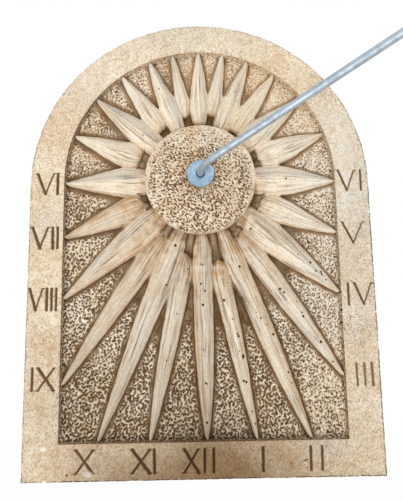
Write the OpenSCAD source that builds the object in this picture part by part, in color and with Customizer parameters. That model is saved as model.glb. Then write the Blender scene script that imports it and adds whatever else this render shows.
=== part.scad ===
// Garden sundial: a cast stone plaque that hangs on a south wall, with a bent
// steel rod as its gnomon. Twenty-four rays stand round a domed sun disc. The
// lower thirteen lie on the hour lines of a vertical dial.
//
// The part's frame has its origin on the wall plane, on the axis of the rod's
// tail: +X to the right, +Y into the wall, +Z up. Each module draws in plan, with
// x to the right, y up and z out from the wall, and against_wall() stands it up.

/* [Plaque] */
// Width of the plaque
plaque_w = 300; // [280:5:360]
// Height of the plaque, to the top of its arch
plaque_h = 400; // [390:5:480]
// Thickness of the plaque at its border
plaque_t = 30; // [26:1:40]
// Height of the dial's centre above the bottom edge
dial_h = 251.4; // [240:0.2:265]
// Width of the border at the sides and the bottom
border_w = 30; // [24:1:36]
// Width of the border at the top of the arch
border_top = 26.5; // [22:0.5:36]
// Depth of the field below the border
field_sink = 7; // [4:0.5:10]
// Chamfer along the border's edges
arris = 1.2; // [0.5:0.1:2.5]

/* [Sun disc] */
// Diameter of the sun disc
disc_d = 97; // [85:1:99]
// Height of the disc's rim above the field
disc_rise = 16.5; // [12:0.5:20]
// Radius of the disc's domed face
dome_r = 98; // [80:1:200]
// Rounding round the disc's rim
rim_r = 2.5; // [1:0.5:4]
// Diameter of the flat seat under the front washer
seat_d = 26; // [24.5:0.5:32]

/* [Rays] */
// Latitude that the hour lines are drawn for, in degrees
latitude = 46.8; // [40:0.2:56]
// Gap from the rays' tips to the border
tip_gap = 1.5; // [0.5:0.1:6]
// Width of a ray at its tip
tip_w = 2.4; // [1:0.1:5]
// Height of a ray's ridge above the field, as a share of its width
ridge_share = 0.52; // [0.3:0.01:0.6]
// Height of a ray's ridge above the field at its tip
tip_rise = 3; // [2:0.5:6]
// Height of a ray's side walls, as a share of its ridge's height
wall_share = 0.34; // [0.2:0.01:0.6]
// How blunt a ray's root is: 2 is an ellipse, and more is squarer
root_power = 2.8; // [2:0.1:4]

/* [Gnomon rod] */
// Diameter of the rod
rod_d = 6; // [5:0.2:6.6]
// Angle of the bend, away from the rod's tail, in degrees
rod_bend = 60; // [40:1:80]
// Radius of the bend, at the rod's centre line
bend_r = 31; // [20:1:40]
// Straight stretch from the front washer to the bend
neck_l = 2.4; // [1:0.1:10]
// Straight length from the bend to the tip
rod_l = 165; // [120:1:220]
// Direction of the rod at rest, from the right towards the top, in degrees
rod_swing = 24.9; // [-180:0.1:180]
// Chamfer at both ends of the rod
rod_chamfer = 0.8; // [0.2:0.1:2]

/* [Fittings] */
// Outer diameter of the front washer
front_washer_d = 23; // [20:0.5:24]
// Hole in the front washer
front_washer_hole = 8.4; // [7.4:0.1:10]
// Thickness of the front washer
front_washer_t = 2; // [1:0.1:3]
// Outer diameter of the back washer
back_washer_d = 18; // [14:0.5:24]
// Thickness of the back washer
back_washer_t = 1.6; // [1:0.1:2.5]
// Width across the flats of the nuts
nut_af = 10; // [9.5:0.5:13]
// Height of the lock nut
lock_nut_h = 5; // [3:0.1:6]
// Length of the bush that is cast into the stone
bush_l = 18; // [12:1:24]
// Length of rod that stands out past the lock nut
tail_over = 2.4; // [1:0.1:4]
// Chamfer on the nuts' corners
nut_chamfer = 0.6; // [0.2:0.1:1]
// Radial clearance between the rod and what turns or screws on it
rod_fit = 0.05; // [0.02:0.01:0.1]
// Radial clearance between the rod and the hole in the stone
bore_gap = 1; // [0.6:0.1:1.5]

/* [Back of the plaque] */
// Diameter of the pocket round the lock nut
pocket_d = 34; // [28:1:44]
// Depth of the pocket
pocket_depth = 20; // [16:1:22]
// Distance from the top of the arch down to the hanger wire
hanger_drop = 44; // [40:1:60]
// Width of the recess behind the hanger wire
recess_w = 52; // [44:1:70]
// Height of the recess
recess_h = 30; // [24:1:40]
// Depth of the recess
recess_depth = 15; // [13:1:17]
// Diameter of the hanger wire
wire_d = 4; // [3:0.5:5]
// Length of wire cast in at each side of the recess
wire_hold = 14; // [8:1:20]
// Depth of the wire's centre line behind the back face
wire_depth = 5; // [4:0.5:6]

/* [Hidden] */
$fn = 96;

// A cut passes each face that it opens by this much
over = 1;

// One row per ray, clockwise as the reader sees it, from the ray right of the
// bottom one: how far from the centre its root and its widest place lie, its
// width there, how full its sides are, and how far it swings off its line.
RAYS = [
    [72, 92, 15, 2.0, 1],        // I
    [42, 84, 17.2, 2.4, 0.6],    // II
    [58, 98, 17.6, 1.9, 0.7],    // III
    [40, 77, 26, 1.4, 0.4],      // IIII
    [56, 71, 23, 1.35, 0],       // V
    [38, 69, 27, 1.35, 0],       // VI in the evening
    [55, 70, 23.8, 1.4, 0],
    [40, 70, 22.8, 1.3, 0],
    [54, 70, 16.6, 1.7, 0],
    [46, 70, 18.4, 1.3, 0],
    [63, 78, 13, 1.5, 0],
    [52, 72, 15.4, 1.8, 0],      // straight up
    [62, 78, 12.2, 1.3, 0.9],
    [46, 75, 16.2, 1.4, 0],
    [58, 72, 17.6, 1.4, 0.7],
    [40, 70, 22, 1.25, 0],
    [56, 69, 23, 1.3, 0],
    [38, 68, 26, 1.15, 0],       // VI in the morning
    [54, 69, 23, 1.3, 0.8],      // VII
    [40, 70, 26.4, 1.25, 0.4],   // VIII
    [59, 90, 18.4, 1.55, 0],     // IX
    [40, 90, 19.6, 1.6, -0.2],   // X
    [66, 90, 16.4, 2.2, -1.1],   // XI
    [42, 84, 16.8, 3.2, 0.7],    // XII
];

// Where a ray's cross-sections lie: shares of the stretch from its root to its
// widest place, then shares of the stretch from there to its tip.
ROOT_STEPS = [0.02, 0.12, 0.4, 0.7];
TAPER_STEPS = [0, 0.2, 0.4, 0.6, 0.8, 0.93, 1];
// How far a ray runs down into the plaque, below the field. Each ray's foot lies one
// step deeper than the last, in threes, and the disc's lies deeper still, so that no
// two feet share a plane.
ray_root_depth = 2;
foot_step = 0.4;
// Share of its full height that a ray has where its root begins
root_height_share = 0.35;
// How far the ball where the bend meets the arm stands out of the rod
elbow_skin = 0.01;
// Steps of the curves on the disc's rim and on its dome
rim_steps = 4;
dome_steps = 10;

outer_spring = plaque_h - dial_h - plaque_w / 2;
outer_bottom = -dial_h;
inner_w = plaque_w - 2 * border_w;
inner_spring = plaque_h - dial_h - border_top - inner_w / 2;
inner_bottom = border_w - dial_h;
field_z = plaque_t - field_sink;

disc_r = disc_d / 2;
rim_z = field_z + disc_rise - rim_r;
dome_z = rim_z - sqrt(pow(dome_r - rim_r, 2) - pow(disc_r - rim_r, 2));
seat_z = dome_z + sqrt(pow(dome_r, 2) - pow(seat_d / 2, 2));

washer_z = seat_z + front_washer_t;
bend_z = washer_z + neck_l;
nut_z = pocket_depth - back_washer_t - lock_nut_h;
tail_z = nut_z - tail_over;
hanger_y = plaque_h - dial_h - hanger_drop;

// Stands a plan drawing up against the wall.
module against_wall() {
    rotate([90, 0, 0]) children();
}

// A block with straight sides and a round arch on top. The profile is a list of
// [inset, height] pairs, so the block's edges can step in or out as it rises.
module arched_block(width, bottom, spring, profile) {
    top = len(profile) - 1;
    translate([0, spring, 0])
        rotate_extrude(angle = 180)
            polygon(concat([[0, profile[0][1]]],
                           [for (p = profile) [width / 2 - p[0], p[1]]],
                           [[0, profile[top][1]]]));
    intersection() {
        translate([0, spring, 0])
            rotate([90, 0, 0])
                linear_extrude(spring - bottom + over)
                    polygon(concat([for (p = profile) [width / 2 - p[0], p[1]]],
                                   [for (i = [top:-1:0]) [profile[i][0] - width / 2, profile[i][1]]]));
        translate([-width / 2 - over, 0, 0])
            rotate([90, 0, 90])
                linear_extrude(width + 2 * over)
                    polygon(concat([for (p = profile) [bottom + p[0], p[1]]],
                                   [[spring, profile[top][1]], [spring, profile[0][1]]]));
    }
}

// The line that hour h falls on, as an angle from straight down towards the
// right. The hours of the night carry on round the top.
function hour_angle(h) = atan2(cos(latitude) * sin(15 * h), cos(15 * h));

// How far a line from the centre runs before it is tip_gap short of the border.
function reach(dx, dy) =
    let (half = inner_w / 2 - tip_gap,
         to_side = half / max(abs(dx), 0.001),
         to_bottom = dy < 0 ? (-inner_bottom - tip_gap) / -dy : plaque_h,
         to_arch = inner_spring * dy + sqrt(pow(inner_spring * dy, 2) - pow(inner_spring, 2) + half * half),
         straight = min(to_side, to_bottom))
    straight * dy > inner_spring ? to_arch : straight;

// Share of its full width that a ray has on the way from its root outwards
function root_share(s) = pow(1 - pow(1 - s, root_power), 1 / root_power);

// A ray's cross-sections, each as [distance from the centre, width, ridge height]
function ray_sections(ray, tip) =
    let (root = ray[0], widest = ray[1], width = ray[2], full = ray[3],
         crest = tip_rise + ridge_share * width)
    concat(
        [for (s = ROOT_STEPS)
            [root + (widest - root) * s,
             width * root_share(s),
             crest * (root_height_share + (1 - root_height_share) * root_share(s))]],
        [for (s = TAPER_STEPS)
            let (w = tip_w + (width - tip_w) * (1 - pow(s, full)))
            [widest + (tip - widest) * s, w, tip_rise + ridge_share * (w - tip_w * s)]]);

// One cross-section across a ray that runs along +X: up one side wall, over the
// ridge and down the other side.
function section_points(section, foot) =
    let (x = section[0], half = section[1] / 2, ridge = section[2],
         side = [[half, 0, true], [half, wall_share, false], [half * 0.55, 0.8, false]])
    concat([for (p = side) [x, -p[0], p[2] ? foot : field_z + ridge * p[1]]],
           [[x, 0, field_z + ridge]],
           [for (i = [2:-1:0]) [x, side[i][0], side[i][2] ? foot : field_z + ridge * side[i][1]]]);

// A ray along +X, skinned over its cross-sections in triangles.
module ray_body(sections, foot) {
    rings = [for (s = sections) section_points(s, foot)];
    n = len(rings[0]);
    last = len(rings) - 1;
    polyhedron(
        points = [for (ring = rings) each ring],
        faces = concat(
            [for (i = [1:n - 2]) [0, i + 1, i]],
            [for (k = [0:last - 1], i = [0:n - 1], half = [0, 1])
                let (a = k * n + i, b = k * n + (i + 1) % n)
                half == 0 ? [a, b, b + n] : [a, b + n, a + n]],
            [for (i = [1:n - 2]) [last * n, last * n + i, last * n + i + 1]]));
}

// The ray of hour h, on its own hour line
module ray(h) {
    row = RAYS[h - 1];
    angle = hour_angle(h) + row[4];
    tip = reach(sin(angle), -cos(angle));
    foot = field_z - ray_root_depth - foot_step * (h % 3);
    rotate([0, 0, angle - 90]) ray_body(ray_sections(row, tip), foot);
}

// The domed sun disc, from inside the plaque up to the seat of the washer
module sun_disc() {
    rim_end = 90 - asin((disc_r - rim_r) / (dome_r - rim_r));
    seat_angle = asin(seat_d / 2 / dome_r);
    foot = field_z - ray_root_depth - 3 * foot_step;
    rotate_extrude()
        polygon(concat(
            [[0, foot], [disc_r, foot]],
            [for (i = [0:rim_steps])
                let (a = rim_end * i / rim_steps)
                [disc_r - rim_r + rim_r * cos(a), rim_z + rim_r * sin(a)]],
            [for (i = [1:dome_steps])
                let (a = 90 - rim_end + (seat_angle - 90 + rim_end) * i / dome_steps)
                [dome_r * sin(a), dome_z + dome_r * cos(a)]],
            [[0, seat_z]]));
}

// A slot with round ends, centred, as an outline
module slot(width, height) {
    square([width - height, height], center = true);
    for (side = [-1, 1]) translate([side * (width - height) / 2, 0]) circle(d = height);
}

// A hexagon bar with chamfered corners, standing on its end
module hex_bar(across_flats, height) {
    corner_r = across_flats / 2 / cos(30);
    intersection() {
        cylinder(r = corner_r, h = height, $fn = 6);
        rotate_extrude()
            polygon([[0, 0], [corner_r - nut_chamfer, 0], [corner_r, nut_chamfer],
                     [corner_r, height - nut_chamfer], [corner_r - nut_chamfer, height], [0, height]]);
    }
}

module washer(outer_d, hole_d, thickness) {
    difference() {
        cylinder(d = outer_d, h = thickness);
        translate([0, 0, -over]) cylinder(d = hole_d, h = thickness + 2 * over);
    }
}

// The hole through the stone, the hexagon that the bush is cast into, and the
// pocket behind them
module gnomon_hole() {
    translate([0, 0, pocket_depth - over])
        cylinder(d = rod_d + 2 * bore_gap, h = seat_z - pocket_depth + 2 * over);
    translate([0, 0, pocket_depth - over])
        cylinder(d = nut_af / cos(30), h = bush_l + over, $fn = 6);
    translate([0, 0, -over])
        cylinder(d = pocket_d, h = pocket_depth + over);
}

// The recess behind the hanger wire, with the wire's own holes at its sides
module hanger_recess() {
    translate([0, hanger_y, -over])
        linear_extrude(recess_depth + over) slot(recess_w, recess_h);
    hanger_bar(wire_d + 2 * rod_fit);
}

module hanger_bar(d) {
    translate([-recess_w / 2 - wire_hold, hanger_y, wire_depth])
        rotate([0, 90, 0]) cylinder(d = d, h = recess_w + 2 * wire_hold);
}

module dial_plaque() {
    color([0.80, 0.70, 0.56])
        against_wall()
            difference() {
                union() {
                    difference() {
                        arched_block(plaque_w, outer_bottom, outer_spring,
                                     [[0, 0], [0, plaque_t - arris], [arris, plaque_t]]);
                        arched_block(inner_w, inner_bottom, inner_spring,
                                     [[0, field_z], [0, plaque_t - arris], [-arris - over, plaque_t + over]]);
                    }
                    for (h = [1:len(RAYS)]) ray(h);
                    sun_disc();
                }
                gnomon_hole();
                hanger_recess();
            }
}

// The long nut that is cast into the stone, and that the rod's tail screws into
module gnomon_bush() {
    color([0.72, 0.62, 0.35])
        against_wall()
            translate([0, 0, pocket_depth])
                difference() {
                    cylinder(d = nut_af / cos(30), h = bush_l, $fn = 6);
                    translate([0, 0, -over])
                        cylinder(d = rod_d + 2 * rod_fit, h = bush_l + 2 * over);
                }
}

module front_washer() {
    color([0.60, 0.71, 0.80])
        against_wall()
            translate([0, 0, seat_z])
                washer(front_washer_d, front_washer_hole, front_washer_t);
}

module hanger_wire() {
    color([0.62, 0.64, 0.66])
        against_wall() hanger_bar(wire_d);
}

// The rod's straight tail, its bend and its long straight arm
module gnomon_rod() {
    color([0.72, 0.78, 0.84])
        against_wall()
            rotate([0, 0, rod_swing]) {
                translate([0, 0, tail_z]) rod_stretch(bend_z - tail_z);
                translate([bend_r, 0, bend_z])
                    rotate([90, 0, 0])
                        mirror([1, 0, 0])
                            rotate_extrude(angle = rod_bend)
                                translate([bend_r, 0]) circle(d = rod_d);
                translate([bend_r, 0, bend_z])
                    rotate([0, rod_bend, 0])
                        translate([-bend_r, 0, 0]) {
                            sphere(d = rod_d + 2 * elbow_skin);
                            translate([0, 0, rod_l])
                                mirror([0, 0, 1]) rod_stretch(rod_l);
                        }
            }
}

// A length of rod that starts with a chamfered end
module rod_stretch(length) {
    cylinder(d1 = rod_d - 2 * rod_chamfer, d2 = rod_d, h = rod_chamfer);
    translate([0, 0, rod_chamfer]) cylinder(d = rod_d, h = length - rod_chamfer);
}

module back_washer() {
    color([0.66, 0.69, 0.72])
        against_wall()
            translate([0, 0, pocket_depth - back_washer_t])
                washer(back_washer_d, rod_d + 2 * rod_fit, back_washer_t);
}

module lock_nut() {
    color([0.66, 0.69, 0.72])
        against_wall()
            translate([0, 0, nut_z])
                difference() {
                    hex_bar(nut_af, lock_nut_h);
                    translate([0, 0, -over])
                        cylinder(d = rod_d + 2 * rod_fit, h = lock_nut_h + 2 * over);
                }
}

dial_plaque();
gnomon_bush();
front_washer();
hanger_wire();
gnomon_rod();
back_washer();
lock_nut();
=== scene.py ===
# Garden sundial: the looks of the cast stone plaque and of its steel fittings, built
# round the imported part. The modelling functions work in millimetres, in plan: x to
# the right, z up, both from the dial's centre, and "out" from the wall towards the
# reader. to_row() turns plan into the row frame, in metres. In the sums that make the
# relief, a term's first number is its height in millimetres. In the sums that make a
# mask, it is the term's share. ease()'s limits are where a mark begins and is full.
from math import asin, atan2, cos, hypot, pi, radians, sin, sqrt

import bpy
import bmesh
import numpy as np
from mathutils import Matrix, Vector


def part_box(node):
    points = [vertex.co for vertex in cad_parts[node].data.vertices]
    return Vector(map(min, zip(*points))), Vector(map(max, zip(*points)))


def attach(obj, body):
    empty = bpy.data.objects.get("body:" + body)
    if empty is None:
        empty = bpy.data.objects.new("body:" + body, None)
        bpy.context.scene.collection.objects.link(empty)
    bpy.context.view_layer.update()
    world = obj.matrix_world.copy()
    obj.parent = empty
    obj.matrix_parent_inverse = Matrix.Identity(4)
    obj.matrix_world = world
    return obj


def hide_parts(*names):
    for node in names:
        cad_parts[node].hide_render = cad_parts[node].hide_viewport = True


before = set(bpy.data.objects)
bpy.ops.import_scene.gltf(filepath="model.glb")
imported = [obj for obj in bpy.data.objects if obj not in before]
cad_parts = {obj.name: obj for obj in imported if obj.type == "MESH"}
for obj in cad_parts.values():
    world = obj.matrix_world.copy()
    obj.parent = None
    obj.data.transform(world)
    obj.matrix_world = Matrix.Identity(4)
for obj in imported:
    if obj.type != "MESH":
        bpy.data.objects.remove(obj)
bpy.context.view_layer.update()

# ---- sizes, in mm

MM = 0.001


def box_mm(node):
    return [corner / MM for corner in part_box(node)]


PLAQUE_LOW, PLAQUE_HIGH = box_mm("dial_plaque")
WASHER_LOW, WASHER_HIGH = box_mm("front_washer")
WIRE_LOW, WIRE_HIGH = box_mm("hanger_wire")
BUSH_OUT = -box_mm("gnomon_bush")[0].y
ROD_TAIL = -box_mm("gnomon_rod")[1].y

PLAQUE_HALF = PLAQUE_HIGH.x
PLAQUE_BOTTOM = PLAQUE_LOW.z
PLAQUE_TOP = PLAQUE_HIGH.z
SEAT_OUT = -WASHER_HIGH.y
WASHER_OUT = -WASHER_LOW.y

BORDER_OUT = 30  # front of the border, out from the wall
BORDER_SIDE = 30  # width of the border at the sides and the bottom
BORDER_TOP = 26.5  # width of the border at the top of the arch
FIELD_OUT = 23  # the sunk field inside the border
OUTER_EDGE_R = 1.3  # worn roundings of the border's two edges
INNER_EDGE_R = 0.7

FIELD_HALF = PLAQUE_HALF - BORDER_SIDE
FIELD_BOTTOM = PLAQUE_BOTTOM + BORDER_SIDE
OUTER_SPRING = PLAQUE_TOP - PLAQUE_HALF
FIELD_SPRING = PLAQUE_TOP - BORDER_TOP - FIELD_HALF

DISC_R = 48.5
DISC_RIM_R = 2.5
DOME_R = 98
SEAT_R = 13
HOLE_R = 4
RIM_OUT = FIELD_OUT + 14
DOME_OUT = RIM_OUT - sqrt((DOME_R - DISC_RIM_R) ** 2 - (DISC_R - DISC_RIM_R) ** 2)

LATITUDE = radians(46.8)
TIP_GAP = 0.4  # between a ray's tip and the border
TIP_W, UPPER_TIP_W = 2.4, 3.6
TIP_RISE = 3
TIP_LIFT, UPPER_TIP_LIFT = 2.0, 4.4  # how much a ray's tip turns up at the border
TIP_ROUND = 1.3
RIDGE_SHARE = 0.52  # a ridge's height, as a share of the ray's width
ROOT_RISE_SHARE = 0.6
ROOT_POWER, LOOSE_ROOT_POWER = 2.8, 1.9  # how blunt a root is, at the disc and clear of it
BURIED = 2  # how far a stone piece runs on under the field's surface
FACE_FROM = BORDER_OUT - 1.6  # where the border's edge turns into its face

# Relief: how deep a mark is cut, and how far what swells or fills stands out
BORDER_GRIT, BORDER_PIT, CHIP_DEPTH = 0.06, 0.30, 0.45
FIELD_CREST, FIELD_STIPPLE, SMOOTH_DEPTH = 0.60, 1.25, 0.35
DISC_CREST, DISC_STIPPLE = 0.25, 0.95
GRAIN_DEPTH, STREAK_DEPTH = 0.34, 0.08
RAY_PINHOLE, DISC_PINHOLE = 0.9, 0.8
SEAM_RISE, POCKET_RISE, CROWN_POCKET_RISE = 3.5, 9.5, 4.5
NICK_DEPTH = 1.5
DISC_WOBBLE = 0.35
WALL_LEAN = 0.25  # how far the wall inside the border leans in, down to the field

# A ray's section: how soft a worn and a crisp ridge are, and how far its facets and its
# shoulders fall, as shares
WORN_RIDGE, CRISP_RIDGE = 0.24, 0.02
FACET_FALL, SHOULDER_FALL = 0.60, 0.06

# Two rays begin to meet at the first gap, and have met at the second
MEETING_GAPS = (3.2, 1.0)
MEETING_SWELL = 0.9

ROD_R = 3
ROD_BEND = radians(60)
ROD_BEND_R = 31
ROD_NECK = 2.4
ROD_LENGTH = 165
ROD_SWING = radians(24.9)
ROD_CHAMFER = 0.8
WASHER_HOLE_R = 3.6
WASHER_EDGE_R = 0.3

POCKET_R = 17
POCKET_DEPTH = 20
RECESS_W, RECESS_H, RECESS_DEPTH = 52, 30, 15
BACK_BEVEL = 0.8
HANGER_UP = (WIRE_LOW.z + WIRE_HIGH.z) / 2

# II's ray is nicked on its left side, this far from the centre
NICKED_HOUR = 2
NICK_AT = 108

# Before this hour, a ray's pinholes gather on its anticlockwise side
EVEN_HOLES_FROM = 4
DISC_PINHOLES = 26
RAY_HOLE_R, DISC_HOLE_R = (0.45, 1.1), (0.35, 0.72)
RAY_SEED, DISC_SEED, NUMERAL_SEED = 500, 77, 60

# Mesh spacing, and how many steps the rod has along its tail, its bend and its arm
BORDER_STEP = 0.55
FIELD_STEP = 0.55
DISC_STEP = 0.45
RAY_STEP = 0.52
RAY_STEP_ACROSS = 0.28
BACK_STEP = 2.2
ROD_STEPS = (60, 40, 170)
WALL_STEPS = 16

# A ray's closest steps, from its root and back from its tip, its walls' levels, and how
# its steps crowd towards the root and the edges
ROOT_STEPS = np.array([0.02, 0.08, 0.2, 0.4, 0.7, 1.1])
TIP_STEPS = np.array([1.0, 0.7, 0.45, 0.25, 0.1, 0.02])
RAY_WALL = np.array([1.0, 0.75, 0.5, 0.25, 0.08])
ROOT_CROWDING, EDGE_CROWDING = 1.02, 1.12
ROD_SIDES, WASHER_SIDES, POCKET_SIDES, SLOT_END_SIDES = 48, 128, 128, 48

# How far the field runs on under the disc and under a ray
UNDER_DISC, UNDER_RAY = 1.5, 1.4

# One row per ray, anticlockwise as seen from the front, from the ray right of the bottom
# one: how far from the centre its root and its widest place lie, its width there, how
# full its sides are, and how many degrees it swings off its hour line. Then its looks:
# how crisp its ridge is, how grey its anticlockwise and its clockwise facets are (grey
# weathering, with painted shade on the facet turned from the light), how ochre it is, and
# how many pinholes it has.
RAYS = [
    (72, 92, 15.0, 2.0, 1.0, 0.25, 0.00, 0.25, 0.30, 12),  # I
    (42, 84, 17.2, 2.4, 0.6, 0.35, 0.00, 0.45, 0.55, 7),  # II
    (58, 98, 17.6, 1.9, 0.7, 0.60, 0.10, 0.62, 0.48, 8),  # III
    (40, 77, 26.0, 1.4, 0.4, 0.65, 0.35, 0.25, 0.15, 7),  # IIII
    (56, 71, 23.0, 1.35, 0.0, 0.65, 0.10, 0.18, 0.15, 1),  # V
    (38, 69, 27.0, 1.35, 0.0, 0.75, 0.60, 0.00, 0.15, 1),  # VI in the evening
    (55, 70, 23.8, 1.4, 0.0, 0.65, 0.10, 0.05, 0.25, 0),
    (40, 70, 22.8, 1.3, 0.0, 0.60, 0.50, 0.10, 0.45, 0),
    (54, 70, 16.6, 1.7, 0.0, 0.35, 0.00, 0.00, 0.40, 0),
    (46, 70, 18.4, 1.3, 0.0, 0.45, 0.30, 0.10, 0.60, 2),
    (63, 78, 13.0, 1.5, 0.0, 0.35, 0.00, 0.10, 0.30, 0),
    (52, 72, 15.4, 1.8, 0.0, 0.60, 0.00, 0.42, 0.32, 0),  # straight up
    (62, 78, 12.2, 1.3, 0.9, 0.40, 0.36, 0.00, 0.15, 0),
    (46, 75, 16.2, 1.4, 0.0, 0.60, 0.00, 0.80, 0.35, 1),
    (58, 72, 17.6, 1.4, 0.7, 0.60, 0.05, 0.05, 0.30, 0),
    (40, 70, 22.0, 1.25, 0.0, 0.85, 0.00, 0.80, 0.40, 1),
    (56, 69, 23.0, 1.3, 0.0, 0.60, 0.05, 0.05, 0.35, 0),
    (38, 68, 26.0, 1.15, 0.0, 0.90, 0.00, 0.75, 0.35, 0),  # VI in the morning
    (54, 69, 23.0, 1.3, 0.8, 0.60, 0.30, 0.00, 1.00, 0),  # VII
    (40, 70, 26.4, 1.25, 0.4, 0.80, 0.20, 0.60, 0.85, 0),  # VIII
    (59, 90, 18.4, 1.55, 0.0, 0.45, 0.35, 0.35, 0.85, 0),  # IX
    (40, 90, 19.6, 1.6, -0.2, 0.85, 0.55, 0.30, 0.55, 2),  # X
    (66, 90, 16.4, 2.2, -1.1, 0.40, 0.40, 0.40, 0.50, 3),  # XI
    (42, 84, 16.8, 3.2, 0.7, 0.30, 0.60, 0.35, 0.90, 9),  # XII
]

# The numerals: their letters, the middle of their height, and each letter's two edges,
# or the one line of an I. The widths are from the narrowest stroke to the widest.
NUMERAL_H = 18.2
GROOVE_DEPTH = 1.2
STROKE_WAVER = 0.22
I_WIDTHS, V_WIDTHS, X_WIDTHS, THIN_WIDTHS = (2.2, 2.8), (2.3, 2.8), (2.5, 3.0), (1.5, 2.0)
NUMERALS = [
    ("VI", -1.2, (-143.4, -129.4), (-125.7,)),
    ("VII", -49.6, (-146.4, -133.4), (-129.2,), (-124.8,)),
    ("VIII", -102.8, (-147.2, -136.6), (-132.7,), (-128.7,), (-124.8,)),
    ("IX", -169.3, (-143,), (-138.2, -125)),
    ("X", -235.6, (-105.2, -91.2)),
    ("XI", -236, (-59.2, -44.8), (-41.2,)),
    ("XII", -236.2, (-16.4, -4.9), (0.4,), (7.8,)),
    ("I", -236, (48.4,)),
    ("II", -235.8, (87.8,), (97.2,)),
    ("III", -169.4, (129.6,), (136.3,), (142.7,)),
    ("IV", -101.8, (126.3,), (132.2, 146.4)),
    ("V", -48.2, (124.6, 142)),
    ("VI", -1.0, (123.2, 137.2), (143,)),
]

# Chips out of the border: where, and how large
CHIPS = [(-132, -225.5, 3.0), (-95, -245.8, 4.2), (-131, -250.8, 2.6), (83, -240, 1.2),
         (149, -30, 2.0), (-149.5, 60, 2.2)]

# Small dark pits in it: where, and how large
PITS = [(-112.4, -245.6, 1.0), (119.6, -115.2, 1.2), (119.7, -126, 1.2), (120, -100, 0.8)]

# Soft patches of weathering: x, z, how far they reach in x and in z, and how strong
# they are. On the border: cooler grey, warmer ochre and bleached
BORDER_COOL = [
    (138, -25, 26, 60, 0.95), (-95, 85, 36, 40, 0.25), (0, 140, 90, 20, 0.60),
    (104, -229, 16, 9, 0.75), (-136, -35, 16, 14, 0.55), (125, 60, 24, 40, 0.60),
    (132, -118, 18, 30, 0.45),
]
BORDER_WARM = [
    (133, -135, 7, 12, 1.0), (145, -45, 5, 14, 0.8), (146, -108, 4, 20, 0.7),
    (71, -235, 6, 6, 0.9), (-95, 95, 30, 40, 0.12), (-130, 30, 14, 30, 0.45),
    (139, -72, 12, 22, 0.45), (-128, -150, 20, 60, 0.45), (108, -239, 12, 6, 0.60),
    (62, -236, 30, 14, 0.35), (85, 108, 50, 30, 0.35), (-120, -236, 40, 16, 0.45),
]
BORDER_WHITE = [
    (126, -8, 11, 44, 0.40), (126, 48, 16, 20, 0.26), (130, -128, 13, 26, 0.34),
    (-98, 90, 18, 18, 0.30),
]

# Where the field's stipple is more or less worn down to pale stone, and where its
# stain is warmer
FIELD_WORN = [
    (-98, 50, 16, 14, 0.20), (70, 82, 26, 30, 0.38), (98, 50, 14, 14, 0.30),
    (105, 22, 10, 14, 0.10), (-105, 22, 16, 16, 0.32), (-100, -20, 50, 110, 0.12),
    (-34, 112, 16, 16, -0.20), (-103, -71, 14, 16, 0.12), (108, -90, 22, 50, 0.16),
    (104, -160, 14, 20, 0.10), (53, -180, 22, 30, -0.30), (-67, -200, 14, 25, -0.22),
    (21, -198, 14, 20, 0.12), (82, -152, 12, 24, -0.24), (-103, -71, 12, 12, 0.06),
]
FIELD_WARM = [
    (60, 95, 60, 50, 0.45), (90, -60, 50, 90, 0.25), (-90, 40, 40, 60, 0.40),
    (105, 22, 25, 25, 0.30), (-34, 112, 20, 16, 0.50), (-103, -71, 16, 18, 0.35),
]

# A brown darkening low on the plaque, darkest at the bottom middle, and a fainter one higher on the left
LOW_DARKENING = [
    (12, -262, 66, 42, 1.15), (-12, -205, 78, 75, 0.40), (-75, -248, 34, 18, 0.30),
    (-110, -190, 40, 60, 0.16),
]

# Single patches, by what they change
TAN_PATCH = (-116, 58, 22, 24)
SPECKLED = (131, -130, 14, 24)
RUSTY = (132, -140, 6, 14)
FAINT_STROKES = (136, -168, 16, 16)
LOW_RIGHT = (105, -190, 45, 80)
GOLDEN = (70, 82, 26, 30)
WORN_RIGHT = (98, 50, 14, 14)
COOL_RIGHT = (95, -80, 40, 110)
PALE_ROOTS = (-50, 0, 12, 34)
WASHER_SMEAR = (2, -15, 9, 3)

# ---- random patterns


class Noise:
    """Smooth random waves over the plan, from about -1 to 1, the same for one seed."""

    def __init__(self, seed):
        rng = np.random.default_rng(seed)
        self.order = np.tile(rng.permutation(256), 2)
        turns = rng.uniform(0, 2 * pi, 256)
        self.slope = np.stack([np.cos(turns), np.sin(turns)], -1).astype(np.float32)

    def __call__(self, x, z, size, size_z=None):
        u = np.asarray(x, np.float32) / size
        v = np.asarray(z, np.float32) / (size_z or size)
        i, j = np.floor(u).astype(int), np.floor(v).astype(int)
        u, v = u - i, v - j
        i, j = i & 255, j & 255
        ease_u, ease_v = u * u * (3 - 2 * u), v * v * (3 - 2 * v)

        def corner(di, dj):
            slope = self.slope[self.order[self.order[(i + di) & 255] + ((j + dj) & 255)]]
            return slope[..., 0] * (u - di) + slope[..., 1] * (v - dj)

        low = corner(0, 0) * (1 - ease_u) + corner(1, 0) * ease_u
        high = corner(0, 1) * (1 - ease_u) + corner(1, 1) * ease_u
        return 1.6 * (low * (1 - ease_v) + high * ease_v)

    def rough(self, x, z, size, octaves=3):
        """Waves of several sizes, each half as large as the last."""
        total, weight = 0, 0
        for k in range(octaves):
            share = 0.5 ** k
            total = total + share * self(x + 37.7 * k, z - 21.3 * k, size * share)
            weight += share
        return total / weight * 1.4


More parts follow.
